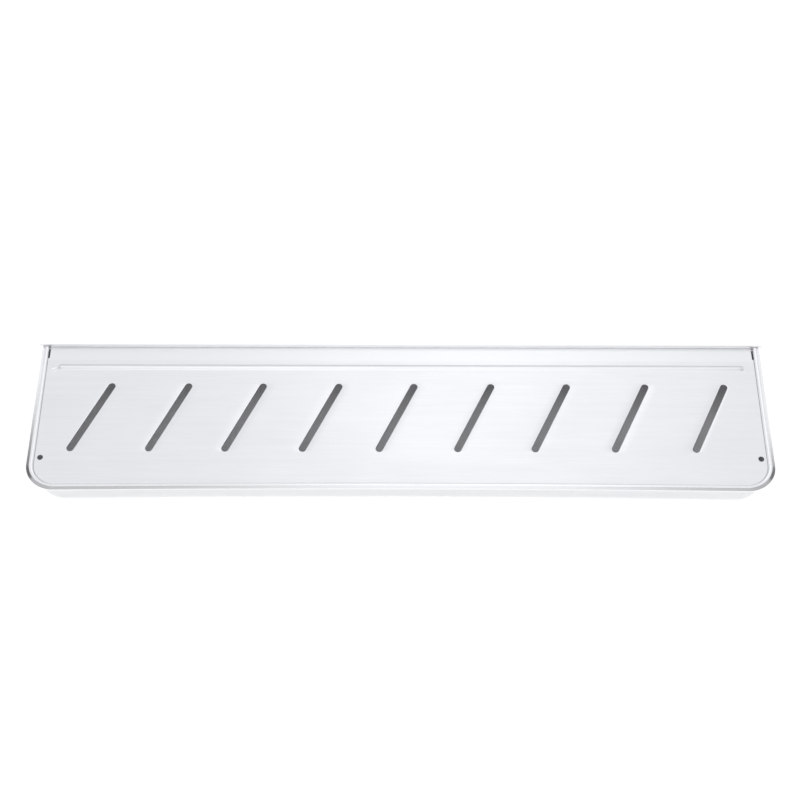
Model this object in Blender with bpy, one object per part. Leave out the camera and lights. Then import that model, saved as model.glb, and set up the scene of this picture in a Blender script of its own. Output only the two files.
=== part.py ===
"""Baguette tray: a shallow aluminium crumb pan with a wired rim, and a slotted deck that lifts out of it.

Frame: +X along the length, -Y towards the front rim, +Z up, metres.  The origin is the middle of the
tray's footprint, on the surface that it stands on.  Plan outlines are measured as an inset from the
rim's outer edge, and y runs backwards from the front of the rim until an object is placed.
"""
import math

import bmesh
import bpy

# ---- Driving dimensions (metres) ----
RIM_WIDTH = 0.650            # over the rolled rim, left to right
RIM_HEIGHT = 0.030           # top of the rolled rim above the table
RIM_ROLL = 0.0068            # outside diameter of the rolled edge
RIM_CORNER = 0.024           # plan radius of the rim's two front corners
CORNER_DRAFT = 0.008         # how much larger the corner radius is at the floor than at the rim
ROLL_END = 300               # degrees of turn from the wall's inner face to the edge of the roll
PAN_REAR = 0.1461            # back of the pan's rear wall, from the front of the rim
SHEET = 0.0012               # thickness of every sheet
GAP = 0.0003                 # clearance between pieces that touch
PAN_BEND = 0.003             # outside radius between the pan's floor and its walls
FLOOR_INSET = 0.012          # inset at which the pan's floor and the deck's face are flat

DECK_DROP = 0.0015           # deck's top face below the top of the rim
DECK_SIDE_GAP = 0.0004       # clearance between the deck's skirt and the pan's wall
DECK_BEND = 0.0018           # outside radius between the deck's face and its skirt
DECK_FOOT = 0.0025           # lower edge of the skirt above the table
DECK_REAR = 0.1460           # back edge of the deck's ledge

SLOT_PLACES = (-0.2730, -0.2045, -0.1380, -0.0705, -0.0035, 0.0650, 0.1325, 0.2025, 0.2730)
SLOT_LEAN = 0.0303           # sideways run of a slot between its end centres
SLOT_FRONT = 0.0419          # front end centre
SLOT_BACK = 0.1047           # rear end centre
SLOT_RADIUS = 0.00325
HOLE_X = 0.3133              # corner holes, either side
HOLE_Y = 0.0325
HOLE_RADIUS = 0.0025

RIB_Y = 0.1248               # middle of the stiffening rib pressed along the deck
RIB_HALF_WIDTH = 0.0034
RIB_HEIGHT = 0.0018
RIB_HALF_LENGTH = 0.309
RIB_TURN = 80                # degrees of its half ellipse that are kept, so its crest is flat
TROUGH_HALF_WIDTH = 0.00244  # hollow under the rib
NOTCH_X = 0.3160             # relief beside the rear ledge: everything further out is cut away
NOTCH_Y = 0.1342

LIP_RISE = 0.0035            # rear plate's upper edge above the deck's face
EAR_REACH = 0.3268           # half the length of the lip, over its two ears
EAR_EDGE = 0.0012            # upright edge at an ear's tip, above its mitre
RIVET_COUNT = 7
RIVET_PITCH = 0.100
RIVET_HEIGHT = 0.0135
RIVET_SHANK = 0.0016
RIVET_HOLE = 0.0019
RIVET_HEAD = 0.0032          # radius of the domed head on the rear plate
RIVET_DOME = 0.0011
RIVET_CROWN = 0.0004         # radius of the flat on top of the dome
DOME_TURNS = (0, 30, 55, 75)  # degrees up the dome at which it has an edge
RIVET_TAIL = 0.0026          # radius of the flattened end inside the pan
RIVET_TAIL_HEIGHT = 0.0009

CORNER_STEPS = 12
ROLL_STEPS = 15
BEND_STEPS = 4
ROUND_SIDES = 16
SHARP_ANGLE = 35             # edges turned further than this many degrees stay crisp

# ---- Places worked out from them ----
WIRE_INSET = RIM_ROLL / 2
WIRE_RADIUS = RIM_ROLL / 2 - SHEET - GAP
ROLL_Z = RIM_HEIGHT - RIM_ROLL / 2
WALL_OUTER = RIM_ROLL - SHEET
DECK_TOP = RIM_HEIGHT - DECK_DROP
DECK_INSET = RIM_ROLL + DECK_SIDE_GAP
PLATE_FRONT = PAN_REAR + GAP
PLATE_BACK = PLATE_FRONT + SHEET
OVERALL_DEPTH = PLATE_BACK + GAP + RIVET_DOME
LIP_TOP = DECK_TOP + LIP_RISE


def clear_scene():
    for item in list(bpy.data.objects):
        bpy.data.objects.remove(item, do_unlink=True)


def metal(name, colour, roughness):
    """Bare metal: a full metallic Principled surface."""
    material = bpy.data.materials.new(name)
    material.use_nodes = True
    shader = material.node_tree.nodes["Principled BSDF"]
    shader.inputs["Base Color"].default_value = (*colour, 1.0)
    shader.inputs["Metallic"].default_value = 1.0
    shader.inputs["Roughness"].default_value = roughness
    return material


def place(name, mesh_data, material=None):
    """Put a mesh in the scene with the tray's footprint centred on the origin."""
    item = bpy.data.objects.new(name, mesh_data)
    bpy.context.collection.objects.link(item)
    item.location = (0.0, -OVERALL_DEPTH / 2, 0.0)
    if material:
        mesh_data.materials.append(material)
    return item


def finish_mesh(name, bm):
    bmesh.ops.recalc_face_normals(bm, faces=bm.faces)
    mesh_data = bpy.data.meshes.new(name)
    bm.to_mesh(mesh_data)
    bm.free()
    mesh_data.shade_smooth()
    mesh_data.set_sharp_from_angle(angle=math.radians(SHARP_ANGLE))
    return mesh_data


def make_cutter(name, bm):
    """A hidden solid that only shapes another piece."""
    cutter = place(name, finish_mesh(name, bm))
    cutter.hide_render = True
    cutter.display_type = 'WIRE'
    return cutter


def combine(target, tool, operation):
    modifier = target.modifiers.new(tool.name, 'BOOLEAN')
    modifier.operation = operation
    modifier.solver = 'EXACT'
    modifier.object = tool


def arc(centre_u, centre_v, radius, start, end, steps):
    """Points on a circular arc, with the angles in degrees."""
    angles = [math.radians(start + (end - start) * k / steps) for k in range(steps + 1)]
    return [(centre_u + radius * math.cos(a), centre_v + radius * math.sin(a)) for a in angles]


def rim_path(inset, z, rear):
    """The U of the rim in plan: up the left side, round both front corners and back up the right.
    Below the rolled edge the corner radius grows towards the floor."""
    radius = RIM_CORNER - inset + CORNER_DRAFT * max(0.0, 1.0 - z / ROLL_Z)
    side = inset - RIM_WIDTH / 2
    left = arc(side + radius, inset + radius, radius, 180, 270, CORNER_STEPS)
    right = [(-x, y) for x, y in reversed(left)]
    return [(side, rear)] + left + right + [(-side, rear)]


def add_rings(bm, section, rear):
    """One vertex ring along the rim for each (inset, z) of a section."""
    return [[bm.verts.new((x, y, z)) for x, y in rim_path(inset, z, rear)] for inset, z in section]


def bridge(bm, first, second):
    for k in range(len(first) - 1):
        bm.faces.new((first[k], first[k + 1], second[k + 1], second[k]))


def pressed_sheet(section, rear):
    """A sheet with a formed edge: the section is carried along the rim, and its first and last rings
    are filled across the tray as the sheet's two flat faces."""
    bm = bmesh.new()
    rings = add_rings(bm, section, rear)
    for first, second in zip(rings, rings[1:]):
        bridge(bm, first, second)
    bm.faces.new(rings[0])
    bm.faces.new(rings[-1])
    bm.faces.new([ring[0] for ring in rings] + [ring[-1] for ring in reversed(rings)])
    return bm


def swept_bar(section, rear):
    """A solid bar of closed section carried along the rim."""
    bm = bmesh.new()
    rings = add_rings(bm, section, rear)
    for first, second in zip(rings, rings[1:] + rings[:1]):
        bridge(bm, first, second)
    bm.faces.new([ring[0] for ring in rings])
    bm.faces.new([ring[-1] for ring in rings])
    return bm


def add_prism(bm, outline, direction, start, end):
    """A straight prism: the outline is swept along 'y' (outline in x, z) or 'z' (outline in x, y)."""
    def corner(u, v, w):
        return (u, w, v) if direction == 'y' else (u, v, w)

    near = [bm.verts.new(corner(u, v, start)) for u, v in outline]
    far = [bm.verts.new(corner(u, v, end)) for u, v in outline]
    bm.faces.new(near)
    bm.faces.new(far)
    bridge(bm, near + near[:1], far + far[:1])


def add_turned(bm, profile):
    """A turned piece on the y axis: the profile lists (radius, y) from one end to the other."""
    rings = []
    for radius, y in profile:
        circle = arc(0, 0, radius, 0, 360, ROUND_SIDES)[:-1]
        rings.append([bm.verts.new((u, y, v)) for u, v in circle])
    for first, second in zip(rings, rings[1:]):
        bridge(bm, first + first[:1], second + second[:1])
    bm.faces.new(rings[0])
    bm.faces.new(rings[-1])


def stadium(x_start, y_start, x_end, y_end, radius):
    """A slot's outline: two half circles joined by straight sides."""
    turn = math.degrees(math.atan2(y_end - y_start, x_end - x_start))
    return (arc(x_end, y_end, radius, turn - 90, turn + 90, ROUND_SIDES // 2)
            + arc(x_start, y_start, radius, turn + 90, turn + 270, ROUND_SIDES // 2))


def add_bead(bm, radius, height, base, spring):
    """A long bead: straight sides from base up to spring, then a half ellipse with rounded ends."""
    levels = [(radius, base), (radius, spring)]
    for step in range(1, BEND_STEPS + 1):
        angle = math.radians(RIB_TURN * step / BEND_STEPS)
        levels.append((radius * math.cos(angle), spring + height * math.sin(angle)))
    end = RIB_HALF_LENGTH - RIB_HALF_WIDTH
    rings = []
    for reach, z in levels:
        rings.append([bm.verts.new((x, y, z)) for x, y in stadium(-end, RIB_Y, end, RIB_Y, reach)])
    for first, second in zip(rings, rings[1:]):
        bridge(bm, first + first[:1], second + second[:1])
    bm.faces.new(rings[0])
    bm.faces.new(rings[-1])


def rivet_places():
    middle = (RIVET_COUNT - 1) / 2
    return [(k - middle) * RIVET_PITCH for k in range(RIVET_COUNT)]


def wall_outline(half, bottom, top, radius):
    """An upright plate's outline in x, z, with its two lower corners rounded."""
    right = arc(half - radius, bottom + radius, radius, -90, 0, BEND_STEPS) + [(half, top)]
    return right + [(-x, z) for x, z in reversed(right)]


def make_pan(material, rivet_holes):
    """Floor, walls and rolled rim from one sheet, closed at the back by an upturned rear wall."""
    inner_bend = PAN_BEND - SHEET
    roll_inner = RIM_ROLL / 2 - SHEET
    section = [(FLOOR_INSET, SHEET)]
    section += arc(RIM_ROLL + inner_bend, PAN_BEND, inner_bend, 270, 180, BEND_STEPS)
    section += arc(WIRE_INSET, ROLL_Z, RIM_ROLL / 2, 0, ROLL_END, ROLL_STEPS)
    section += arc(WIRE_INSET, ROLL_Z, roll_inner, ROLL_END, 0, ROLL_STEPS)
    section += arc(WALL_OUTER + PAN_BEND, PAN_BEND, PAN_BEND, 180, 270, BEND_STEPS)
    section += [(FLOOR_INSET, 0.0)]
    pan = place("crumb_pan", finish_mesh("crumb_pan", pressed_sheet(section, PAN_REAR)), material)

    bm = bmesh.new()
    middle = SHEET / 2
    half = RIM_WIDTH / 2 - WALL_OUTER - middle
    top = DECK_TOP - SHEET - GAP
    add_prism(bm, wall_outline(half, middle, top, PAN_BEND - middle), 'y', PAN_REAR - SHEET, PAN_REAR)
    combine(pan, make_cutter("rear_wall_form", bm), 'UNION')
    combine(pan, rivet_holes, 'DIFFERENCE')
    return pan


def make_wire(material):
    """Stiffening wire inside the rolled rim."""
    circle = arc(WIRE_INSET, ROLL_Z, WIRE_RADIUS, 0, 360, ROUND_SIDES)[:-1]
    return place("rim_wire", finish_mesh("rim_wire", swept_bar(circle, PAN_REAR)), material)


def make_rear_plate(material, rivet_holes):
    """Flat plate behind the pan: its upper edge is the lip, which runs out into a mitred ear each side."""
    half = RIM_WIDTH / 2 - WALL_OUTER
    ear_foot = LIP_TOP - EAR_EDGE
    mitre_foot = ear_foot - (EAR_REACH - half)
    right = wall_outline(half, GAP, mitre_foot, PAN_BEND)[:BEND_STEPS + 2]
    right += [(EAR_REACH, ear_foot), (EAR_REACH, LIP_TOP)]
    outline = right + [(-x, z) for x, z in reversed(right)]
    bm = bmesh.new()
    add_prism(bm, outline, 'y', PLATE_FRONT, PLATE_BACK)
    plate = place("rear_plate", finish_mesh("rear_plate", bm), material)
    combine(plate, rivet_holes, 'DIFFERENCE')
    return plate


def make_deck(material):
    """Slotted face with a skirt all round the front and sides, and a plain ledge at the back."""
    inner_bend = DECK_BEND - SHEET
    centre = (DECK_INSET + DECK_BEND, DECK_TOP - DECK_BEND)
    section = [(FLOOR_INSET, DECK_TOP)]
    section += arc(*centre, DECK_BEND, 90, 180, BEND_STEPS)
    section += [(DECK_INSET, DECK_FOOT), (DECK_INSET + SHEET, DECK_FOOT)]
    section += arc(*centre, inner_bend, 180, 90, BEND_STEPS)
    section += [(FLOOR_INSET, DECK_TOP - SHEET)]
    deck = place("slotted_deck", finish_mesh("slotted_deck", pressed_sheet(section, DECK_REAR)), material)

    underside = DECK_TOP - SHEET
    beyond = SHEET
    bead = bmesh.new()
    add_bead(bead, RIB_HALF_WIDTH, RIB_HEIGHT, DECK_TOP - SHEET / 2, DECK_TOP)
    combine(deck, make_cutter("rib_form", bead), 'UNION')

    cuts = bmesh.new()
    add_bead(cuts, TROUGH_HALF_WIDTH, RIB_HEIGHT, underside - beyond, underside)
    for x in SLOT_PLACES:
        outline = stadium(x - SLOT_LEAN / 2, SLOT_FRONT, x + SLOT_LEAN / 2, SLOT_BACK, SLOT_RADIUS)
        add_prism(cuts, outline, 'z', underside - beyond, DECK_TOP + beyond)
    for side in (-1, 1):
        outline = arc(side * HOLE_X, HOLE_Y, HOLE_RADIUS, 0, 360, ROUND_SIDES)[:-1]
        add_prism(cuts, outline, 'z', underside - beyond, DECK_TOP + beyond)
        near, far = side * NOTCH_X, side * RIM_WIDTH / 2
        block = [(near, NOTCH_Y), (far, NOTCH_Y), (far, PLATE_BACK), (near, PLATE_BACK)]
        add_prism(cuts, block, 'z', 0.0, RIM_HEIGHT)
    combine(deck, make_cutter("deck_cuts", cuts), 'DIFFERENCE')
    return deck


def make_rivet_holes():
    bm = bmesh.new()
    for x in rivet_places():
        outline = arc(x, RIVET_HEIGHT, RIVET_HOLE, 0, 360, ROUND_SIDES)[:-1]
        add_prism(bm, outline, 'y', PAN_REAR - 2 * SHEET, PLATE_BACK + SHEET)
    return make_cutter("rivet_holes", bm)


def make_rivets(material):
    """Domed head outside on the rear plate, flattened tail inside the pan."""
    tail_face = PAN_REAR - SHEET - GAP
    head_face = PLATE_BACK + GAP
    profile = [(RIVET_TAIL, tail_face - RIVET_TAIL_HEIGHT), (RIVET_TAIL, tail_face),
               (RIVET_SHANK, tail_face), (RIVET_SHANK, head_face)]
    for angle in DOME_TURNS:
        turn = math.radians(angle)
        profile.append((RIVET_HEAD * math.cos(turn), head_face + RIVET_DOME * math.sin(turn)))
    profile.append((RIVET_CROWN, head_face + RIVET_DOME))
    for number, x in enumerate(rivet_places(), start=1):
        bm = bmesh.new()
        add_turned(bm, profile)
        name = f"rear_rivet_{number}"
        rivet = place(name, finish_mesh(name, bm), material)
        rivet.location.x = x
        rivet.location.z = RIVET_HEIGHT


def main():
    clear_scene()
    aluminium = metal("brushed_aluminium", (0.86, 0.87, 0.89), 0.34)
    wire_steel = metal("galvanised_wire", (0.62, 0.63, 0.64), 0.45)
    rivet_metal = metal("rivet_aluminium", (0.78, 0.79, 0.80), 0.30)
    holes = make_rivet_holes()
    make_pan(aluminium, holes)
    make_wire(wire_steel)
    make_rear_plate(aluminium, holes)
    make_deck(aluminium)
    make_rivets(rivet_metal)


main()
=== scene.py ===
"""Looks of the baguette tray: smooth pressed-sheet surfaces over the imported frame, brushed and satin
metal finishes, a pale floor, soft light and the camera.

Plan outlines are measured as in the tray's drawing: an inset from the rim's outer edge, and y running
backwards from the front of the rim.  Metres throughout.
"""
import math

import bmesh
import bpy
import numpy as np
from mathutils import Matrix, Vector


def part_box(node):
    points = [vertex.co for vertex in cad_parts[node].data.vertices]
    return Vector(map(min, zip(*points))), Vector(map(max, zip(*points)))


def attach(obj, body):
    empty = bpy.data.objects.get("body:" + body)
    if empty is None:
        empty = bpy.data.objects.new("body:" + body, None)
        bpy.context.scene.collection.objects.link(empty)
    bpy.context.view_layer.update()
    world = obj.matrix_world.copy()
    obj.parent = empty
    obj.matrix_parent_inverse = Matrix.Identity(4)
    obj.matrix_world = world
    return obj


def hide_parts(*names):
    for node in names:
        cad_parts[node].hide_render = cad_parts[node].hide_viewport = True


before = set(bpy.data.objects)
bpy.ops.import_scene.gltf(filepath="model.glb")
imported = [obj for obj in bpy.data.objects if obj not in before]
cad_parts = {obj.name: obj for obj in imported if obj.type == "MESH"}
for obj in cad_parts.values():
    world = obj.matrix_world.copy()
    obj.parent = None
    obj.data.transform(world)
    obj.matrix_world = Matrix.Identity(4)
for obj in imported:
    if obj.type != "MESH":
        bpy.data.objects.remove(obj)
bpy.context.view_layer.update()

# ---- Sizes read from the frame ----
PAN_LOW, PAN_HIGH = (np.array(corner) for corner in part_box("crumb_pan"))
DECK_LOW, DECK_HIGH = (np.array(corner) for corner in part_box("slotted_deck"))
PLATE_LOW, PLATE_HIGH = (np.array(corner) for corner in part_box("rear_plate"))
WIRE_LOW, WIRE_HIGH = (np.array(corner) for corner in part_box("rim_wire"))
FRONT = PAN_LOW[1]
HALF_WIDTH = PAN_HIGH[0]
RIM_TOP = PAN_HIGH[2]
PAN_REAR = PAN_HIGH[1] - FRONT
DECK_FOOT = DECK_LOW[2]

# ---- Rim and pan ----
SHEET = 0.0012
RIM_ROLL = 0.0068            # outside size of the rolled edge
RIM_CORNER = 0.0262          # plan radius of the rim's two front corners
CORNER_DRAFT = 0.008         # how much larger the corner radius is at the floor than at the rim
SLIDE_FADE = 0.060           # length over which a straight wall takes up the corner's draft
ROLL_END = 300               # degrees of turn from the wall's inner face to the edge of the roll
ROLL_Z = RIM_TOP - RIM_ROLL / 2
WALL_OUTER = RIM_ROLL - SHEET
ROLL_FLAT = 127              # where round the roll its flattened outer face is centred, in degrees
ROLL_FLAT_OUT = 0.00288      # distance of that face from the middle of the roll
ROLL_FLAT_IN = 0.00194       # and of its back, against the wire
FLAT_POWER = 60.0            # how crisply the flat meets the round
ROLL_SQUARE = 3.2            # how square the roll's inner shoulder is (2 would leave it round)
FRONT_SQUEEZE = 0.17         # how much smaller the roll is along the front than along the sides
SQUEEZE_FOOT = 0.015         # height at which the front wall is back in its place
RIM_BOW = 0.0018             # how far the long front rim is sprung inwards at its middle
WALL_BOW = 0.0013            # further bow of the foot of the front wall
BOW_HALF = 0.300             # half the length of the bowed stretch
BOW_DEPTH = 0.030            # how far back the bow has faded out
PAN_BEND = 0.003             # outside radius between the pan's floor and its walls
FLOOR_INSET = 0.012          # inset of the one large face in the middle of the pan's floor
FLOOR_LAP = 0.001            # width of the last flat strip around it
CORNER_STEPS = 36            # steps round each front corner of the rim
FRONT_RUN = 0.301            # half the length of the front that is cut into even steps
WIRE_SLACK = 0.00006         # taken off the wire so that it lies clear of the roll
WIRE_RADIUS = (WIRE_HIGH[2] - WIRE_LOW[2]) / 2 - WIRE_SLACK
WALL_FOOT = 0.0004           # foot of the pan's rear wall, sunk in its floor
WALL_DROP = 0.0005           # its top below the deck's sheet
WALL_SHY = 0.00002           # its back in front of the plane where the pan's sides end
EAR_EDGE = 0.0012            # upright edge at the tip of a rear plate's ear, above its mitre
EDGE_ROUND = 0.00014         # rounding of the punched and sheared edges
EDGE_POWER = 0.6             # below 1, it makes a sheared edge fuller than an ellipse

# ---- Deck ----
DECK_GAP = 0.00004           # between the skirt's top and the rim
DECK_INSET = RIM_ROLL + DECK_GAP
DECK_BEND = 0.00025          # outside radius between the deck's face and its skirt
DECK_TAPER = 0.0003          # how far the skirt's foot stands in from its top
DECK_FILLET = 0.0002         # inside radius of the same bend
FACE_INSET = DECK_INSET + SHEET + DECK_FILLET
LEDGE_GAP = 0.00006          # between the deck's rear ledge and the rear plate
DECK_REAR = PLATE_LOW[1] - FRONT - LEDGE_GAP
RIB_HEIGHT = 0.0018
RIB_Y = 0.1248               # middle of the stiffening rib pressed along the deck
RIB_HALF_WIDTH = 0.0034
RIB_HALF_LENGTH = 0.309
RIB_TURN = math.radians(80)  # turn of the rib's side at which its crest goes flat
RIB_CREST = 0.985            # share of the height that the smooth rib reaches
DECK_TOP = DECK_HIGH[2] - RIB_HEIGHT * math.sin(RIB_TURN)
PUCKER_X = 0.3115            # the puckers between the rib's ends and the bent sides
PUCKER_Y = RIB_Y - 0.0024
PUCKER_WIDTH = 0.0021
PUCKER_DEPTH = 0.0042
PUCKER_HEIGHT = 0.00045
PUCKER_PITCH = 0.0031
PUCKER_LEAN = 0.35
RIGHT_PUCKER = 0.45          # height of the right-hand puckers beside the left-hand ones
NOTCH_Y = 0.1342             # where the skirt ends, beside the ledge
FOLD_Y = 0.1320              # the fold along the front of the ledge
FOLD_SLOPE = math.tan(math.radians(-1.0))
FOLD_BEND = 0.0006
SLOT_PLACES = (-0.2730, -0.2045, -0.1380, -0.0705, -0.0035, 0.0650, 0.1325, 0.2025, 0.2730)
SLOT_LEAN = 0.0303           # sideways run of a slot between its end centres
SLOT_FRONT = 0.0419          # front end centre
SLOT_BACK = 0.1047           # rear end centre
SLOT_RADIUS = 0.00325
HOLE_X = 0.3133
HOLE_Y = 0.0325
HOLE_RADIUS = 0.0025

# ---- Rivets ----
RIVET_COUNT = 7
RIVET_HOLE = 0.0019
RIVET_SHANK = 0.0016
RIVET_TAIL = 0.0026          # radius of the flattened end inside the pan
RIVET_TAIL_HEIGHT = 0.0009
RIVET_HEAD_HEIGHT = 0.0011
RIVET_BRIM = 0.00018         # rounding of its rims
RIVET_DIMPLE = 0.0001        # radius of the dot that closes its flattened end

# ---- Meshes and set ----
WELD = 2e-6                  # points this close are one
SHARP_TURN = math.radians(40)
FLOOR_REACH = 3.0
CAMERA_PLACE = (-0.0007, FRONT - 0.6065, 1.2092)
CAMERA_TILT = math.radians(59.42)
CAMERA_ROLL = math.radians(0.14)
LENS = 69.5


# ---- Meshes ----

class Shell:
    """Collects grids of points and flat caps, and welds them into one smooth-shaded mesh."""

    def __init__(self):
        self.points = []
        self.faces = []
        self.count = 0

    def add_points(self, points):
        """Keeps the points and returns the number of the first."""
        points = np.asarray(points, float).reshape(-1, 3)
        start = self.count
        self.points.append(points)
        self.count += len(points)
        return start

    def grid(self, points, close=False):
        """Four-sided faces over a (rows, columns, 3) array; close joins the last column to the first."""
        rows, columns = points.shape[:2]
        start = self.add_points(points)
        index = start + np.arange(rows * columns).reshape(rows, columns)
        if close:
            index = np.hstack([index, index[:, :1]])
        quads = np.stack([index[:-1, :-1], index[:-1, 1:], index[1:, 1:], index[1:, :-1]], axis=-1)
        self.faces.extend(quads.reshape(-1, 4).tolist())

    def cap(self, points):
        """One flat face whose corners are the given points in order."""
        start = self.add_points(points)
        self.faces.append(list(range(start, start + len(points))))

    def build(self, name, finish, bow=False):
        """The piece: points welded, faces turned outwards, edges past SHARP_TURN kept crisp."""
        mesh = bpy.data.meshes.new(name)
        points = np.concatenate(self.points)
        mesh.from_pydata((bowed(points) if bow else points).tolist(), [], self.faces)
        bm = bmesh.new()
        bm.from_mesh(mesh)
        bmesh.ops.remove_doubles(bm, verts=bm.verts, dist=WELD)
        bmesh.ops.dissolve_degenerate(bm, edges=bm.edges, dist=WELD)
        bmesh.ops.recalc_face_normals(bm, faces=bm.faces)
        open_edges = sum(not edge.is_manifold for edge in bm.edges)
        if open_edges:
            print(f"{name}: {open_edges} open edges")
        bm.to_mesh(mesh)
        bm.free()
        mesh.shade_smooth()
        mesh.set_sharp_from_angle(angle=SHARP_TURN)
        mesh.materials.append(finish)
        piece = bpy.data.objects.new(name, mesh)
        bpy.context.scene.collection.objects.link(piece)
        return piece


def arc(centre_u, centre_v, radius, start, end, steps):
    """Points (centre + radius * (cos a, sin a)) with a running evenly from start to end in degrees."""
    a = np.radians(np.linspace(start, end, steps + 1))
    return np.stack([centre_u + radius * np.cos(a), centre_v + radius * np.sin(a)], axis=-1)


def eased(share):
    """Smooth step: 3 t^2 - 2 t^3, with t held between 0 and 1."""
    t = np.clip(share, 0, 1)
    return t * t * (3 - 2 * t)


def joined_rows(*groups):
    """The groups' values in order, without those that nearly repeat their neighbour."""
    rows = np.unique(np.round(np.concatenate(groups), 7))
    return rows[np.concatenate([[True], np.diff(rows) > 2 * WELD])]


def roll(radius, flat, turns):
    """The roll's section about its middle: a circle cut by a flat at distance d, blended as
    1 / r^p = 1 / radius^p + (cos(a - flat's direction) / d)^p with p the flat's power.  The quarter
    next to the deck is squarer, with r = radius / (cos a^n + sin a^n)^(1 / n)."""
    a = np.radians(turns)
    facing = np.maximum(np.cos(a - math.radians(ROLL_FLAT)), 0.01)
    r = (radius ** -FLAT_POWER + (facing / flat) ** FLAT_POWER) ** (-1 / FLAT_POWER)
    cos, sin = np.maximum(np.cos(a), 0), np.maximum(np.sin(a), 0)
    shoulder = radius / np.maximum(cos ** ROLL_SQUARE + sin ** ROLL_SQUARE, 1e-9) ** (1 / ROLL_SQUARE)
    r = np.where((a > 0) & (a < math.pi / 2), shoulder, r)
    return np.stack([RIM_ROLL / 2 + r * np.cos(a), ROLL_Z + r * np.sin(a)], axis=-1)


def bowed(points):
    """Springs the front inwards: y grows by (1 - (x / half)^2) times a bow that deepens towards the
    foot of the wall and fades out behind the front edge."""
    middle = np.maximum(0, 1 - (points[:, 0] / BOW_HALF) ** 2)
    fade = eased(1 - (points[:, 1] - FRONT) / BOW_DEPTH)
    foot = np.clip(1 - points[:, 2] / ROLL_Z, 0, 1)
    shift = middle * fade * (RIM_BOW + WALL_BOW * foot)
    return points + shift[:, None] * np.array([0.0, 1.0, 0.0])


class RimPath:
    """A U-shaped plan outline at one inset, as foot points with outward normals.

    A ring at another inset is foot + normal * (base - inset).  Below the roll the corner radius grows
    by e = draft * (1 - z / roll height), which slides each corner point by e * (inward diagonal +
    normal) and the straight walls along themselves, fading out over SLIDE_FADE.
    """

    def __init__(self, base, foot, normal, slide):
        self.base, self.foot, self.normal, self.slide = base, foot, normal, slide

    def ring(self, inset, z, lift=0.0):
        """The outline at that inset and height in the row frame; each may differ from point to point."""
        extra = CORNER_DRAFT * np.maximum(0.0, 1.0 - z / ROLL_Z)
        inset, z, extra = (np.broadcast_to(value, len(self.foot)) for value in (inset, z, extra))
        plan = self.foot + self.normal * (self.base - inset)[:, None] + self.slide * extra[:, None]
        return np.column_stack([plan[:, 0], plan[:, 1] + FRONT, z + lift])


def mirrored(half, front):
    """A left half and a front, with the left half repeated on the right in x and in order."""
    return np.concatenate([half, front, (half * [-1.0, 1.0])[::-1]])


def straight_slide(distance, direction):
    """Slides along a straight wall, fading with the distance from its corner."""
    fade = np.clip(1 - distance / SLIDE_FADE, 0, 1)
    return fade[:, None] * direction


def rim_path(base, side_rows, corner_steps, front_columns):
    """The rim's outline at an inset: down the left side, round its corner, along the front, and
    mirrored back up the right."""
    radius = RIM_CORNER - base
    side = base - HALF_WIDTH
    rows = np.sort(np.asarray(side_rows))[::-1]
    columns = np.sort(np.asarray(front_columns))
    unit = arc(0, 0, 1, 180, 270, corner_steps)[1:-1]
    left = np.concatenate([np.stack([np.full(len(rows), side), rows], axis=-1),
                           unit * radius + [side + radius, base + radius]])
    left_normal = np.concatenate([np.tile([-1.0, 0.0], (len(rows), 1)), unit])
    left_slide = np.concatenate([straight_slide(rows - RIM_CORNER, np.array([[0.0, 1.0]])), unit + 1])
    front = np.stack([columns, np.full(len(columns), base)], axis=-1)
    front_normal = np.tile([0.0, -1.0], (len(columns), 1))
    inwards = np.stack([-np.sign(columns), np.zeros(len(columns))], axis=-1)
    front_slide = straight_slide(-(side + radius) - np.abs(columns), inwards)
    return RimPath(base, mirrored(left, front), mirrored(left_normal, front_normal),
                   mirrored(left_slide, front_slide))


def squeezed(path, inset, z):
    """Insets and heights of one section point along the rim, drawn towards the roll's inner top
    corner by the share k = squeeze * (front-facing part of the normal)^2, fading out down the wall."""
    fade = eased((z - SQUEEZE_FOOT) / (RIM_TOP - RIM_ROLL - SQUEEZE_FOOT))
    share = FRONT_SQUEEZE * fade * np.clip(-path.normal[:, 1], 0, 1) ** 2
    return inset + share * max(RIM_ROLL - inset, 0), z + share * (RIM_TOP - z)


def sweep(shell, path, section, closed=False):
    """Carries a section of (inset, z) points along the rim: one ring for each point."""
    rings = np.stack([path.ring(*squeezed(path, inset, z)) for inset, z in section])
    if closed:
        rings = np.concatenate([rings, rings[:1]])
    shell.grid(rings)
    return rings


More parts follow.
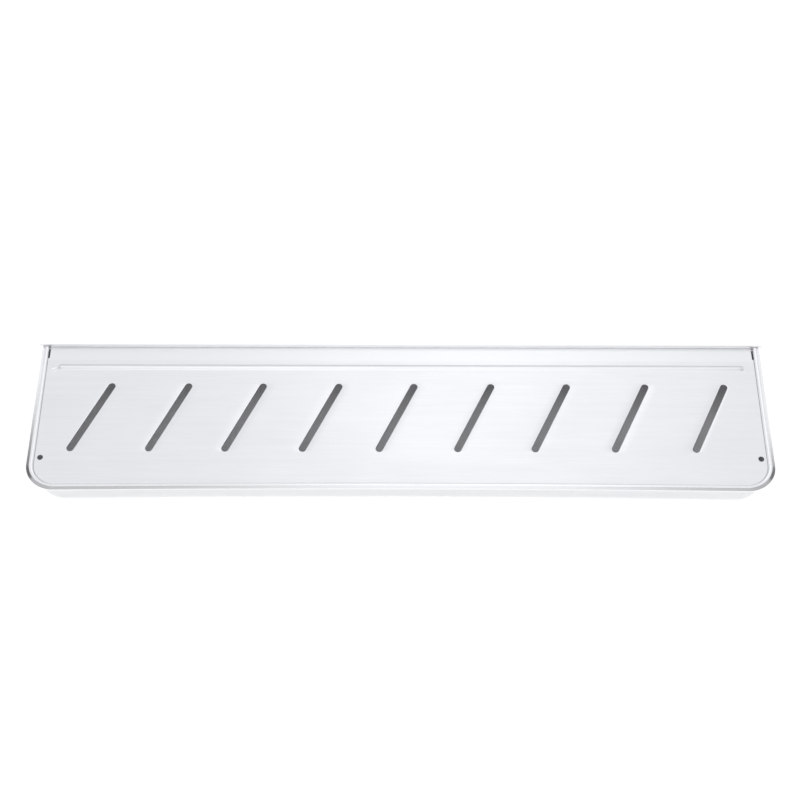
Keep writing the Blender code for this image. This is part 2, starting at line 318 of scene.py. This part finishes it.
class Gap:
    """A punched slot (or, with both centres the same, a round hole), bounded on the left and right by
    two edges x(y).  Each edge point is foot + reach * normal, with the foot on the slot's centre line:
    round the end centres the normal turns with y, and between them it stays square to the slot."""

    def __init__(self, front, back, reach):
        self.front, self.back = np.array(front, float), np.array(back, float)
        self.reach = reach
        run = self.back - self.front
        length = float(np.hypot(*run))
        self.along = run / length if length else np.array([0.0, 1.0])

    def span(self):
        """Where the gap starts and ends in y."""
        return self.front[1] - self.reach, self.back[1] + self.reach

    def rows(self, steps=8):
        """Rows close together where the edges curve: y = end centre -/+ reach * cos a."""
        lean = math.degrees(math.asin(self.along[0]))
        turn = np.radians(np.concatenate([np.linspace(0, 90 - lean, steps + 1),
                                          np.linspace(90 - lean, 90 + lean, 5)[1:]]))
        middle = np.linspace(self.front[1], self.back[1], 9)[2:-2] if lean else []
        return np.concatenate([self.front[1] - self.reach * np.cos(turn), middle,
                               self.back[1] + self.reach * np.cos(turn)])

    def edge(self, rows, side):
        """(feet, normals) of the edge on that side (-1 left, +1 right) at each row."""
        low, high = self.span()
        rows = np.clip(rows, low, high)
        square = side * np.array([self.along[1], -self.along[0]])
        start = self.front[1] + self.reach * square[1]
        end = self.back[1] + self.reach * square[1]
        distance = (np.clip(rows, start, end) - start) / self.along[1]
        feet = self.front + distance[:, None] * self.along
        turn = np.where(rows < start, (rows - self.front[1]) / self.reach,
                        np.where(rows > end, (rows - self.back[1]) / self.reach, square[1]))
        turn = np.clip(turn, -1, 1)
        normals = np.stack([side * np.sqrt(1 - turn ** 2), turn], axis=-1)
        return feet, normals

    def loop(self, rows):
        """Feet and normals all round the gap, from the front tip up the left and down the right."""
        low, high = self.span()
        inside = rows[(rows >= low - 1e-9) & (rows <= high + 1e-9)]
        left, left_normal = self.edge(inside, -1)
        right, right_normal = self.edge(inside[1:-1], 1)
        return (np.concatenate([left, right[::-1]]), np.concatenate([left_normal, right_normal[::-1]]))


def pierced_sheet(shell, rows, half, gaps, shares, faces, lift, place):
    """Both faces of a flat sheet with gaps, as one grid of rows by columns.

    On each row the columns lie between the neighbouring gaps' edges, x = low + (high - low) * share,
    with each region's own shares.
    faces are the two faces' heights, lift(x, y) is added to both, and place(u, v, w) turns drawing
    coordinates into the row frame.  Each gap gets its wall, with rounded edges.
    Returns the columns of the plan as one (rows, columns, 2) array.
    """
    edges = [-half]
    for gap in gaps:
        for side in (-1, 1):
            feet, normals = gap.edge(rows, side)
            x = feet[:, 0] + gap.reach * normals[:, 0]
            level = int(np.argmin(np.abs(rows - gap.front[1])))
            edges.append(np.where(rows < gap.span()[0], x * half / half[level], x))
    edges.append(half)
    plan = []
    for region, share in enumerate(shares):
        low, high = edges[2 * region], edges[2 * region + 1]
        x = low[:, None] + (high - low)[:, None] * share[None, :]
        y = np.repeat(rows[:, None], len(share), axis=1)
        plan.append(np.stack([x, y], axis=-1))
        for height in faces:
            shell.grid(place(x, y, height + lift(x, y)))
    top, bottom = faces
    bevel = np.radians([0, 30, 60, 90])
    upper = [(EDGE_ROUND * (1 - math.sin(a)), top - EDGE_ROUND * (1 - math.cos(a))) for a in bevel]
    lower = [(out, bottom + top - height) for out, height in reversed(upper)]
    for gap in gaps:
        feet, normals = gap.loop(rows)
        rings = []
        for out, height in upper + lower:
            spot = feet + normals * (gap.reach - EDGE_ROUND + out)
            rings.append(place(spot[:, 0], spot[:, 1], height + lift(spot[:, 0], spot[:, 1])))
        shell.grid(np.stack(rings), close=True)
    return np.concatenate(plan, axis=1)


def sheared_edge(shell, chain, faces, lift, place, close=False):
    """The cut edge of a sheet along a chain of plan points: it swells out by EDGE_ROUND between the
    two faces: out by round * cos a, up by half the thickness * sin a to the power EDGE_POWER.
    Returns the rings from the top face to the bottom one."""
    if close:
        step = np.roll(chain, -1, axis=0) - np.roll(chain, 1, axis=0)
    else:
        step = np.gradient(chain, axis=0)
    step /= np.linalg.norm(step, axis=1, keepdims=True)
    outward = np.stack([step[:, 1], -step[:, 0]], axis=-1)
    top, bottom = faces
    turn = np.radians(np.linspace(90, -90, 9))
    rings = []
    for a in turn:
        spot = chain + outward * EDGE_ROUND * math.cos(a)
        height = (top + bottom) / 2 + (top - bottom) / 2 * math.copysign(abs(math.sin(a)) ** EDGE_POWER, a)
        rings.append(place(spot[:, 0], spot[:, 1], height + lift(chain[:, 0], chain[:, 1])))
    rings = np.stack(rings)
    shell.grid(rings, close=close)
    return rings


def no_lift(x, y):
    return np.zeros(np.shape(x))


def lying(u, v, w):
    """Drawing to row frame for a sheet that lies flat."""
    return np.stack([u, v + FRONT, np.broadcast_to(w, np.shape(u))], axis=-1)


def spread(*stops):
    """Shares from 0 to 1 made of even runs: each stop is (share reached, steps)."""
    shares, reached = [np.zeros(1)], 0.0
    for share, steps in stops:
        shares.append(np.linspace(reached, share, steps + 1)[1:])
        reached = share
    return np.concatenate(shares)


# ---- Pieces ----

def deck_lift(x, y):
    """Height of the deck's forms above its flat face: the pressed rib, H * cos(pi / 2 * d / w)^2 with
    d the distance from the rib's centre line; the rear ledge, tilted down behind its fold; and the
    small puckers between the rib's ends and the bent sides, a sine under a bell-shaped window."""
    x, y = np.asarray(x), np.asarray(y)
    end = RIB_HALF_LENGTH - RIB_HALF_WIDTH
    away = np.hypot(np.maximum(np.abs(x) - end, 0), y - RIB_Y) / RIB_HALF_WIDTH
    rib = RIB_HEIGHT * RIB_CREST * np.cos(np.minimum(away, 1) * math.pi / 2) ** 2
    fold = FOLD_SLOPE * FOLD_BEND * np.logaddexp(0, (y - FOLD_Y) / FOLD_BEND)
    height = PUCKER_HEIGHT * np.where(x < 0, 1.0, RIGHT_PUCKER)
    window = np.exp(-((np.abs(x) - PUCKER_X) / PUCKER_WIDTH) ** 2 - ((y - PUCKER_Y) / PUCKER_DEPTH) ** 2)
    wave = np.sin((y + PUCKER_LEAN * np.abs(x)) * 2 * math.pi / PUCKER_PITCH)
    return rib + fold + height * window * wave


def make_deck(finish):
    """Slotted face, skirt and rear ledge of the lift-out deck."""
    slots = [Gap((x - SLOT_LEAN / 2, SLOT_FRONT), (x + SLOT_LEAN / 2, SLOT_BACK), SLOT_RADIUS + EDGE_ROUND)
             for x in SLOT_PLACES]
    holes = [Gap((side * HOLE_X, HOLE_Y), (side * HOLE_X, HOLE_Y), HOLE_RADIUS + EDGE_ROUND)
             for side in (-1, 1)]
    gaps = [holes[0]] + slots + [holes[1]]
    radius = RIM_CORNER - FACE_INSET
    turn = np.radians(np.linspace(0, 90, 19))
    corner = FACE_INSET + radius * (1 - np.cos(turn))
    rear = DECK_REAR - EDGE_ROUND
    rib = RIB_Y + RIB_HALF_WIDTH * np.sin(np.radians(np.linspace(-90, 90, 21)))
    rows = joined_rows(corner, holes[0].rows(), slots[0].rows(), rib, np.linspace(0.1109, 0.1209, 13),
                       np.linspace(0.1286, 0.1360, 10), [0.037, 0.139, 0.143, NOTCH_Y, rear])
    inner = HALF_WIDTH - FACE_INSET
    dip = np.sqrt(np.maximum(0, radius ** 2 - np.maximum(0, RIM_CORNER - rows) ** 2))
    half = np.where(rows < RIM_CORNER, inner - radius + dip, inner)
    outer_share, plain_share = spread((1, 6)), spread((1, 8))
    near_share = spread((0.27, 30), (1, 8))
    shares = [outer_share, near_share] + [plain_share] * (len(slots) - 1)
    shares += [1 - near_share[::-1], outer_share]
    faces = (DECK_TOP, DECK_TOP - SHEET)
    shell = Shell()
    plan = pierced_sheet(shell, rows, half, gaps, shares, faces, deck_lift, lying)

    notch = int(np.argmin(np.abs(rows - NOTCH_Y)))
    path = deck_path(plan[:notch + 1, 0][::-1], plan[0, 1:-1], radius)
    bend = [(FACE_INSET, DECK_TOP),
            *arc(DECK_INSET + DECK_BEND, DECK_TOP - DECK_BEND, DECK_BEND, 90, 180, 8)]
    fillet = arc(FACE_INSET, DECK_TOP - SHEET - DECK_FILLET, DECK_FILLET, 180, 90, 4)
    nose = EDGE_ROUND
    outer = DECK_INSET + DECK_TAPER
    foot = [(outer, DECK_FOOT + nose), (outer + nose, DECK_FOOT),
            (outer + SHEET - nose, DECK_FOOT), (outer + SHEET, DECK_FOOT + nose)]
    section = [*bend, *foot, *fillet]
    weights = np.concatenate([np.linspace(1, 0, len(bend)), np.zeros(len(foot)),
                              np.linspace(0, 1, len(fillet))])
    forms = deck_lift(path.foot[:, 0], path.foot[:, 1])
    rings = np.stack([path.ring(inset, z, forms * weight) for (inset, z), weight in zip(section, weights)])
    shell.grid(rings)

    chain = np.concatenate([plan[notch:, 0], plan[-1, 1:-1], plan[notch:, -1][::-1]])[::-1]
    wall = sheared_edge(shell, chain, faces, deck_lift, lying)
    shell.cap(np.concatenate([rings[:, 0], wall[::-1, -1][1:-1]]))
    shell.cap(np.concatenate([rings[:, -1], wall[::-1, 0][1:-1]]))
    return shell.build("slotted_deck_face", finish, bow=True)


def deck_path(left, front, radius):
    """The outline of the deck's face as a RimPath, from its own boundary points so that the skirt
    meets them: normals point away from the corner's centre, and straight out along the sides."""
    centre = np.array([FACE_INSET - HALF_WIDTH + radius, RIM_CORNER])
    straight = left[:, 1:] >= RIM_CORNER
    away = np.where(straight, [[-1.0, 0.0]], (left - centre) / radius)
    left_normal = away / np.linalg.norm(away, axis=1, keepdims=True)
    left_slide = np.where(straight, straight_slide(left[:, 1] - RIM_CORNER, np.array([[0.0, 1.0]])),
                          left_normal + 1)
    front_normal = np.tile([0.0, -1.0], (len(front), 1))
    inwards = np.stack([-np.sign(front[:, 0]), np.zeros(len(front))], axis=-1)
    front_slide = straight_slide(-centre[0] - np.abs(front[:, 0]), inwards)
    return RimPath(FACE_INSET, mirrored(left, front), mirrored(left_normal, front_normal),
                   mirrored(left_slide, front_slide))


def make_pan(finish):
    """Floor, walls and rolled rim of the crumb pan, in one sheet."""
    path = rim_path(FLOOR_INSET, np.concatenate([np.linspace(RIM_CORNER, 0.1, 14), [PAN_REAR]]),
                    CORNER_STEPS, np.linspace(-FRONT_RUN, FRONT_RUN, 87))
    inner_bend = PAN_BEND - SHEET
    flat = FLOOR_INSET - FLOOR_LAP
    section = [(FLOOR_INSET, SHEET), (flat, SHEET)]
    section += [*arc(RIM_ROLL + inner_bend, PAN_BEND, inner_bend, 270, 180, 6)]
    section += [(RIM_ROLL, z) for z in np.linspace(PAN_BEND, ROLL_Z, 7)[1:-1]]
    turns = np.unique(np.concatenate([np.linspace(0, ROLL_END, 46), np.linspace(88, 102, 8),
                                      np.linspace(152, 166, 8)]))
    section += [*roll(RIM_ROLL / 2, ROLL_FLAT_OUT, turns)]
    section += [*roll(RIM_ROLL / 2 - SHEET, ROLL_FLAT_IN, turns[::-1])]
    section += [(WALL_OUTER, z) for z in np.linspace(ROLL_Z, PAN_BEND, 7)[1:-1]]
    section += [*arc(WALL_OUTER + PAN_BEND, PAN_BEND, PAN_BEND, 180, 270, 8)]
    section += [(flat, 0.0), (FLOOR_INSET, 0.0)]
    shell = Shell()
    rings = sweep(shell, path, section)
    shell.cap(rings[0])
    shell.cap(rings[-1])
    shell.cap(np.concatenate([rings[:, 0], rings[::-1, -1]]))
    return shell.build("crumb_pan_shell", finish, bow=True)


def upright_rows(bottom, top, rivet_gap, extra):
    """Rows of an upright plate: its rounded lower corners, the rivet holes and a few more."""
    turn = np.radians(np.linspace(0, 90, 9))
    return joined_rows(bottom + PAN_BEND * (1 - np.cos(turn)), rivet_gap.rows(6), extra, [top])


def make_upright(name, finish, low_y, high_y, bottom, top, width_at, extra):
    """An upright plate from low_y to high_y whose half width at each height is width_at(z)."""
    gaps = []
    for number in range(1, RIVET_COUNT + 1):
        low, high = (np.array(corner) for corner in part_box(f"rear_rivet_{number}"))
        centre = (low[0] + high[0]) / 2, (low[2] + high[2]) / 2
        gaps.append(Gap(centre, centre, RIVET_HOLE + EDGE_ROUND))
    gaps.sort(key=lambda gap: gap.front[0])
    rows = upright_rows(bottom, top, gaps[0], extra)
    half = width_at(rows)

    def standing(u, v, w):
        """Drawing to row frame for a sheet that stands: across, up, and back."""
        return np.stack([u, np.broadcast_to(w, np.shape(u)), v], axis=-1)

    faces = (high_y, low_y)
    shell = Shell()
    shares = [spread((1, 6))] * (len(gaps) + 1)
    plan = pierced_sheet(shell, rows, half, gaps, shares, faces, no_lift, standing)
    loop = np.concatenate([plan[:, 0], plan[-1, 1:-1], plan[:, -1][::-1], plan[0, 1:-1][::-1]])[::-1]
    loop = loop[np.linalg.norm(loop - np.roll(loop, 1, axis=0), axis=1) > 1e-7]
    sheared_edge(shell, loop, faces, no_lift, standing, close=True)
    return shell.build(name, finish)


def rounded_foot(z, bottom, half, radius):
    """Half width of a plate with round lower corners: half - r * (1 - sqrt(1 - rise^2)), where rise
    is how far z lies below the corners' centres, as a share of r."""
    rise = np.clip((bottom + radius - z) / radius, 0, 1)
    return half - radius * (1 - np.sqrt(1 - rise ** 2))


def make_rear_wall(finish):
    """The pan's upturned rear wall, which stands just under the deck's ledge."""
    bottom, top = WALL_FOOT, DECK_TOP - SHEET - WALL_DROP
    half = HALF_WIDTH - RIM_ROLL + SHEET / 3
    rear = FRONT + PAN_REAR
    return make_upright("crumb_pan_rear_wall", finish, rear - SHEET, rear - WALL_SHY, bottom, top,
                        lambda z: rounded_foot(z, bottom, half, PAN_BEND), [0.020])


def make_rear_plate(finish):
    """Rear plate: straight sides, then a mitre out to each ear's tip."""
    bottom, top = PLATE_LOW[2] + EDGE_ROUND, PLATE_HIGH[2] - EDGE_ROUND
    reach = PLATE_HIGH[0] - EDGE_ROUND
    half = HALF_WIDTH - WALL_OUTER - EDGE_ROUND
    ear_foot = PLATE_HIGH[2] - EAR_EDGE
    mitre_foot = ear_foot - (reach - half)

    def width_at(z):
        return rounded_foot(z, bottom, half, PAN_BEND) + np.clip(z - mitre_foot, 0, reach - half)

    return make_upright("rear_plate_lip", finish, PLATE_LOW[1], PLATE_HIGH[1], bottom, top, width_at,
                        [0.0185, mitre_foot, (mitre_foot + ear_foot) / 2, ear_foot])


def make_wire(finish):
    """Round wire inside the roll."""
    path = rim_path(RIM_ROLL / 2, np.linspace(RIM_CORNER, PAN_REAR, 4), CORNER_STEPS,
                    np.linspace(-FRONT_RUN, FRONT_RUN, 44))
    shell = Shell()
    rings = sweep(shell, path, [*arc(RIM_ROLL / 2, ROLL_Z, WIRE_RADIUS, 0, 345, 23)], closed=True)
    shell.cap(rings[:-1, 0])
    shell.cap(rings[:-1, -1])
    return shell.build("rim_wire_rod", finish, bow=True)


def make_rivet(number, finish):
    """A turned rivet: flattened tail, shank and a domed head with a rounded brim.  Each profile point
    (r, y) goes round the rivet's axis as (x + r cos t, y, z + r sin t)."""
    low, high = (np.array(corner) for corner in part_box(f"rear_rivet_{number}"))
    x, z = (low[0] + high[0]) / 2, (low[2] + high[2]) / 2
    radius = (high[0] - low[0]) / 2
    tail_back = low[1] + RIVET_TAIL_HEIGHT
    head_face = high[1] - RIVET_HEAD_HEIGHT
    dome_foot = head_face + RIVET_BRIM
    rise = np.radians(np.linspace(12, 88, 10))
    profile = np.concatenate([
        [(RIVET_DIMPLE, low[1]), (RIVET_TAIL - RIVET_BRIM, low[1]), (RIVET_TAIL, low[1] + RIVET_BRIM),
         (RIVET_TAIL, tail_back - RIVET_BRIM), (RIVET_TAIL - RIVET_BRIM, tail_back),
         (RIVET_SHANK, tail_back), (RIVET_SHANK, head_face), (radius - RIVET_BRIM, head_face),
         (radius, dome_foot)],
        np.stack([radius * np.cos(rise), dome_foot + (high[1] - dome_foot) * np.sin(rise)], axis=-1)])
    turn = np.linspace(0, 2 * math.pi, 48, endpoint=False)
    rings = np.stack([x + profile[:, :1] * np.cos(turn), np.repeat(profile[:, 1:], len(turn), axis=1),
                      z + profile[:, :1] * np.sin(turn)], axis=-1)
    shell = Shell()
    shell.grid(rings, close=True)
    shell.cap(rings[0])
    shell.cap(rings[-1])
    return shell.build(f"rivet_{number}", finish)


# ---- Finishes ----

class Value:
    """A shader socket that can be used in arithmetic: each operation adds its Math node."""

    def __init__(self, tree, socket):
        self.tree, self.socket = tree, socket

    def math(self, operation, first, second=0.0):
        node = self.tree.nodes.new("ShaderNodeMath")
        node.operation = operation
        for slot, item in zip(node.inputs, (first, second)):
            if isinstance(item, Value):
                self.tree.links.new(item.socket, slot)
            else:
                slot.default_value = item
        return Value(self.tree, node.outputs[0])

    def __add__(self, other):
        return self.math("ADD", self, other)

    def __sub__(self, other):
        return self.math("SUBTRACT", self, other)

    def __rsub__(self, other):
        return self.math("SUBTRACT", other, self)

    def __mul__(self, other):
        return self.math("MULTIPLY", self, other)

    __radd__ = __add__
    __rmul__ = __mul__


class Finish:
    """A material under construction, with one method that makes any node."""

    def __init__(self, name):
        self.material = bpy.data.materials.new(name)
        self.material.use_nodes = True
        self.tree = self.material.node_tree
        self.shader = self.tree.nodes["Principled BSDF"]

    def feed(self, slot, value):
        """Links a Value to a socket, or sets the socket; a colour may be given without its alpha."""
        if isinstance(value, Value):
            self.tree.links.new(value.socket, slot)
        elif slot.type == "RGBA" and len(value) == 3:
            slot.default_value = (*value, 1.0)
        else:
            slot.default_value = value

    def node(self, kind, settings=(), output=0, numbered=(), **sockets):
        """A node of that type: its settings first, then values or links for its sockets, by number
        or by name."""
        node = self.tree.nodes.new(kind)
        for name, value in dict(settings).items():
            setattr(node, name, value)
        for number, value in dict(numbered).items():
            self.feed(node.inputs[number], value)
        for name, value in sockets.items():
            self.feed(node.inputs[name.replace("_", " ")], value)
        return Value(self.tree, node.outputs[output])

    def drive(self, **sockets):
        """Values or links for the surface's own sockets."""
        for name, value in sockets.items():
            self.feed(self.shader.inputs[name.replace("_", " ")], value)

    def relief(self, height, strength, distance):
        """Bumps of that height."""
        self.drive(Normal=self.node("ShaderNodeBump", Height=height, Strength=strength, Distance=distance))

    def place(self, scale, shift=(0, 0, 0)):
        """Object coordinates, scaled and shifted."""
        spot = self.node("ShaderNodeTexCoord", output=3)
        return self.node("ShaderNodeMapping", Vector=spot, Scale=scale, Location=shift)

    def noise(self, scale, detail=3.0, roughness=0.55, shift=(0, 0, 0)):
        return self.node("ShaderNodeTexNoise", Vector=self.place(scale, shift), Scale=1.0,
                         Detail=detail, Roughness=roughness)

    def axis(self, letter):
        """One of the Object coordinates."""
        return self.node("ShaderNodeSeparateXYZ", output="XYZ".index(letter),
                         Vector=self.node("ShaderNodeTexCoord", output=3))

    def ramp(self, value, low, high):
        """Smooth step from 0 at low to 1 at high (low may be the larger)."""
        start, end = (0.0, 1.0) if low < high else (1.0, 0.0)
        return self.node("ShaderNodeMapRange", {"interpolation_type": "SMOOTHSTEP"}, Value=value,
                         From_Min=min(low, high), From_Max=max(low, high), To_Min=start, To_Max=end)

    def blend(self, share, first, second):
        """A colour between two colours."""
        return self.node("ShaderNodeMix", {"data_type": "RGBA"}, 2, {0: share, 6: first, 7: second})


def brushed_aluminium(name, bright, dull, base_roughness, grain_depth):
    """Aluminium sheet, brushed along its length: fine hair lines and wider soft streaks in colour,
    gloss and relief, a cloudy bloom in colour and gloss, and faint handling marks in colour."""
    finish = Finish(name)
    hair = finish.noise((25, 2600, 2600), detail=2.0)
    streak = finish.noise((4, 240, 240), shift=(3.1, 1.7, 0.4))
    bloom = finish.noise((9, 14, 14), detail=4.0, shift=(7.3, 2.2, 5.1))
    speck = finish.noise((260, 420, 420), detail=2.0, shift=(1.3, 9.2, 4.4))
    marks = finish.ramp(speck, 0.66, 0.80)
    share = finish.ramp(hair * 0.42 + streak * 0.22 + bloom * 0.36 + marks * 0.10, 0.30, 0.70)
    colour = finish.blend(share, bright, dull)
    gloss = hair * 0.12 + streak * 0.03 + bloom * 0.07 + (base_roughness - 0.11)
    finish.drive(Base_Color=colour, Metallic=1.0, Roughness=gloss)
    finish.relief(hair * 0.85 + streak * 0.15, grain_depth, 0.0001)
    return finish, colour, gloss, bloom


def deck_metal():
    """Brushed sheet whose rear ledge, behind the fold, has one even, light tone."""
    finish, colour, _, _ = brushed_aluminium("brushed_deck", (0.915, 0.922, 0.938), (0.850, 0.858, 0.876),
                                             0.34, 0.18)
    ledge = finish.ramp(finish.axis("Y"), FRONT + FOLD_Y - 0.001, FRONT + FOLD_Y + 0.001)
    finish.drive(Base_Color=finish.blend(ledge, colour, (0.915, 0.921, 0.934)))
    return finish.material


def pan_metal():
    """Drawn sheet: a rim polished by hands, satin walls, and a floor made pale, non-metallic and faintly
    glowing: painted light that stands in for light that bounces about under the slots."""
    finish, colour, gloss, bloom = brushed_aluminium("pressed_pan", (0.930, 0.935, 0.945),
                                                     (0.870, 0.876, 0.888), 0.24, 0.10)
    height = finish.axis("Z")
    wall = finish.ramp(height, 0.0245, 0.0225)
    satin = finish.blend(bloom, (0.815, 0.818, 0.822), (0.760, 0.764, 0.769))
    metal = finish.blend(wall, colour, satin)
    # Painted light: the floor is made pale and non-metallic and glows faintly, in place of light bouncing
    # under the slots.
    floor_glow = finish.ramp(height, 0.0060, 0.0015) * finish.ramp(height, 0.0006, 0.0009)
    floor_pale_share = floor_glow * (bloom * 0.4 + 0.75)
    finish.drive(Base_Color=finish.blend(floor_pale_share, metal, (0.915, 0.92, 0.93)), Metallic=1 - floor_pale_share,
                 Roughness=gloss + wall * 0.12,
                 Emission_Color=finish.blend(floor_glow, (0.0, 0.0, 0.0), (1.0, 1.0, 1.0)),
                 Emission_Strength=0.035)
    return finish.material


def plate_metal():
    """Brushed sheet with a painted highlight along its lip: the lip is made lighter and rougher."""
    finish, colour, gloss, _ = brushed_aluminium("brushed_plate", (0.850, 0.855, 0.864),
                                                 (0.790, 0.796, 0.808), 0.32, 0.16)
    # Painted highlight: the lip along the plate's top gets a lighter colour and more roughness.
    lip = finish.ramp(finish.axis("Z"), 0.0265, 0.0285)
    finish.drive(Base_Color=finish.blend(lip, colour, (0.975, 0.980, 0.990)), Roughness=gloss + lip * 0.15)
    return finish.material


def galvanised_wire():
    """Dull zinc-coated steel with soft spangle."""
    finish = Finish("galvanised_wire")
    spangle = finish.node("ShaderNodeTexVoronoi", {"feature": "SMOOTH_F1"},
                          Vector=finish.place((420, 420, 420)), Scale=1.0, Smoothness=0.6)
    haze = finish.noise((60, 60, 60))
    finish.drive(Base_Color=finish.blend(spangle, (0.66, 0.67, 0.68), (0.50, 0.51, 0.53)), Metallic=1.0,
                 Roughness=spangle * 0.15 + haze * 0.12 + 0.30)
    finish.relief(haze, 0.15, 0.0002)
    return finish.material


def rivet_metal():
    """Satin aluminium with the fine dents that setting a rivet leaves."""
    finish = Finish("rivet_aluminium")
    dent = finish.noise((700, 700, 700))
    haze = finish.noise((150, 150, 150), detail=2.0)
    finish.drive(Base_Color=finish.blend(haze, (0.84, 0.85, 0.86), (0.72, 0.73, 0.75)), Metallic=1.0,
                 Roughness=dent * 0.16 + 0.22)
    finish.relief(dent, 0.25, 0.0001)
    return finish.material


def ride(piece, body, slot, *nodes):
    """Puts a piece on its body and hides the CAD nodes it stands in for; slot is not used."""
    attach(piece, body)
    if nodes:
        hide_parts(*nodes)


def make_tray():
    walls = pan_metal()
    ride(make_deck(deck_metal()), "deck", "aluminium_sheet", "slotted_deck")
    ride(make_pan(walls), "pan", "aluminium_sheet", "crumb_pan")
    ride(make_rear_wall(walls), "pan", "aluminium_sheet")
    ride(make_rear_plate(plate_metal()), "pan", "aluminium_sheet", "rear_plate")
    ride(make_wire(galvanised_wire()), "pan", "galvanised_wire", "rim_wire")
    rivets = rivet_metal()
    for number in range(1, RIVET_COUNT + 1):
        ride(make_rivet(number, rivets), "pan", "rivet_aluminium", f"rear_rivet_{number}")


# ---- Floor, light and camera ----

def one_face(name, corners, finish):
    """A flat four-sided object that belongs to the set, not to the tray."""
    mesh = bpy.data.meshes.new(name)
    mesh.from_pydata(corners, [], [(0, 1, 2, 3)])
    mesh.materials.append(finish.material)
    item = bpy.data.objects.new(name, mesh)
    bpy.context.scene.collection.objects.link(item)
    return item


def make_floor():
    """A pale seamless floor, which glows a little so that it stays even right up to the tray."""
    finish = Finish("pale_floor")
    paper = finish.noise((30, 30, 30))
    finish.drive(Base_Color=finish.blend(paper, (0.80, 0.80, 0.80), (0.78, 0.78, 0.78)), Roughness=0.9,
                 Emission_Color=(1.0, 1.0, 1.0), Emission_Strength=0.42)
    reach = FLOOR_REACH
    one_face("floor", [(-reach, -reach, 0), (reach, -reach, 0), (reach, reach, 0), (-reach, reach, 0)],
             finish)


def add_softbox(name, place, aim, size, radiance):
    """A softbox of that even radiance: power = radiance * pi * area."""
    light = bpy.data.lights.new(name, "AREA")
    light.shape = "RECTANGLE"
    light.size, light.size_y = size
    light.energy = radiance * math.pi * size[0] * size[1]
    item = bpy.data.objects.new(name, light)
    bpy.context.scene.collection.objects.link(item)
    item.location = place
    item.rotation_euler = (Vector(aim) - Vector(place)).to_track_quat("-Z", "Y").to_euler()


def add_card(name, start, end, height, tone, fade):
    """A grey card that stands on the floor between two plan points and that only reflections see; it
    thins out over the last stretch, fade long, before its end."""
    finish = Finish(name)
    length = math.dist(start, end)
    along = ((end[0] - start[0]) / length, (end[1] - start[1]) / length, 0.0)
    spot = finish.place((1, 1, 1), (-start[0], -start[1], 0.0))
    run = finish.node("ShaderNodeVectorMath", {"operation": "DOT_PRODUCT"}, 1, {0: spot, 1: along})
    glow = finish.node("ShaderNodeEmission", Color=(tone, tone, tone * 1.01))
    clear = finish.node("ShaderNodeBsdfTransparent")
    mix = finish.node("ShaderNodeMixShader",
                      numbered={0: finish.ramp(run, length, length - fade), 1: clear, 2: glow})
    finish.feed(finish.tree.nodes["Material Output"].inputs["Surface"], mix)
    card = one_face(name, [(*start, 0.0), (*end, 0.0), (*end, height), (*start, height)], finish)
    for sight in ("visible_camera", "visible_diffuse", "visible_shadow", "visible_transmission"):
        setattr(card, sight, False)


def make_light():
    """An even pale surround, three softboxes, and grey cards that shade the rim's reflections."""
    world = bpy.data.worlds.new("studio")
    world.use_nodes = True
    backdrop = world.node_tree.nodes["Background"]
    backdrop.inputs["Color"].default_value = (0.975, 0.983, 1.0, 1.0)
    backdrop.inputs["Strength"].default_value = 0.88
    bpy.context.scene.world = world
    bpy.context.scene.view_settings.view_transform = "Standard"
    add_softbox("rear_softbox", (0.145, 1.00, 1.45), (0.0, 0.0, 0.0), (0.67, 0.9), 0.35)
    add_softbox("top_softbox", (0.0, -0.80, 1.9), (0.0, 0.0, 0.0), (1.6, 1.6), 0.40)
    add_softbox("front_softbox", (0.06, -1.7, 0.9), (0.0, 0.0, 0.1), (0.5, 1.5), 0.12)
    add_card("left_card", (-0.46, -0.075), (-0.46, 0.12), 0.125, tone=0.14, fade=0.12)
    add_card("left_corner_card", (-0.46, -0.075), (-0.44, -0.40), 0.40, tone=0.52, fade=0.01)
    add_card("left_front_card", (-0.44, -0.40), (0.00, -0.46), 0.46, tone=0.52, fade=0.36)
    add_card("right_card", (0.46, -0.075), (0.46, 0.07), 0.125, tone=0.16, fade=0.08)
    add_card("right_corner_card", (0.46, -0.075), (0.44, -0.40), 0.40, tone=0.50, fade=0.01)
    add_card("right_front_card", (0.44, -0.40), (0.18, -0.46), 0.46, tone=0.50, fade=0.22)
    add_card("rear_card", (-1.2, 1.0), (1.2, 1.0), 0.42, tone=0.72, fade=0.01)


def make_camera():
    """Camera in front of and above the tray, tilted down, with a trace of roll."""
    forward = Vector((0, math.cos(CAMERA_TILT), -math.sin(CAMERA_TILT)))
    right = Vector((1, 0, 0))
    up = right.cross(forward)
    across = right * math.cos(CAMERA_ROLL) + up * math.sin(CAMERA_ROLL)
    upward = up * math.cos(CAMERA_ROLL) - right * math.sin(CAMERA_ROLL)
    camera = bpy.data.cameras.new("camera")
    camera.sensor_width = 36.0
    camera.lens = LENS
    item = bpy.data.objects.new("camera", camera)
    bpy.context.scene.collection.objects.link(item)
    turn = Matrix((across, upward, -forward)).transposed().to_4x4()
    item.matrix_world = Matrix.Translation(CAMERA_PLACE) @ turn
    bpy.context.scene.camera = item


make_camera()
make_tray()
make_floor()
make_light()
